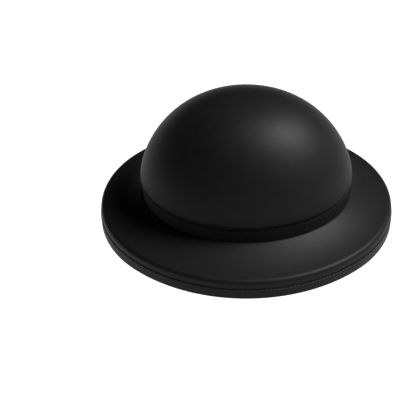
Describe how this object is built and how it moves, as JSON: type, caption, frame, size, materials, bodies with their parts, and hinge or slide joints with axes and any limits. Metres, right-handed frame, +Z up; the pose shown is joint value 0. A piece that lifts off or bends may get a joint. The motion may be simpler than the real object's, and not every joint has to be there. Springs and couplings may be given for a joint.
{
  "type": "bowler hat",
  "caption": "Black felt bowler hat: oval domed crown, ribbon band with flat side bow, turned-down bound brim, leather sweatband and satin lining.",
  "frame": {"origin": "on the surface the hat stands on, under the middle of the brim", "axes": "+Z up through the crown; the wearer faces -Y; the wearer's left, with the bow, is +X"},
  "size_m": [0.2626, 0.301, 0.142],
  "materials": {
    "felt": "hard shellac-stiffened fur felt, black, brushed to a soft sheen",
    "ribbon": "black grosgrain ribbon, fine upright ribs, satin",
    "thread": "black polyester thread",
    "wire": "drawn steel millinery wire",
    "ferrule": "crimped brass sleeve",
    "leather": "brown roan leather, smooth, satin",
    "reed": "flexible round reed",
    "tape": "black woven cotton tape",
    "satin_ribbon": "narrow black satin ribbon",
    "label": "blank size label, no print",
    "lining": "grey satin lining",
    "piping": "dark satin piping",
    "clear_sheet": "clear soft sheet, glossy"
  },
  "bodies": {
    "root": {"crown_shell": "felt", "brim": "felt", "edge_wire": "wire", "wire_joiner": "ferrule", "brim_binding": "ribbon", "binding_stitches": "thread", "hat_band": "ribbon", "bow_tails": "ribbon", "bow_loops": "ribbon", "bow_knot": "ribbon", "band_tacks": "thread", "headline_stitches": "thread", "sweatband": "leather", "sweatband_reed": "reed", "reed_tape": "tape", "sweatband_stitches": "thread", "back_seam_tape": "tape", "sweatband_bow": "satin_ribbon", "sweatband_bow_knot": "satin_ribbon", "size_label": "label", "lining_side": "lining", "lining_tip": "lining", "lining_piping": "piping", "tip_shield": "clear_sheet"}
  },
  "joints": []
}
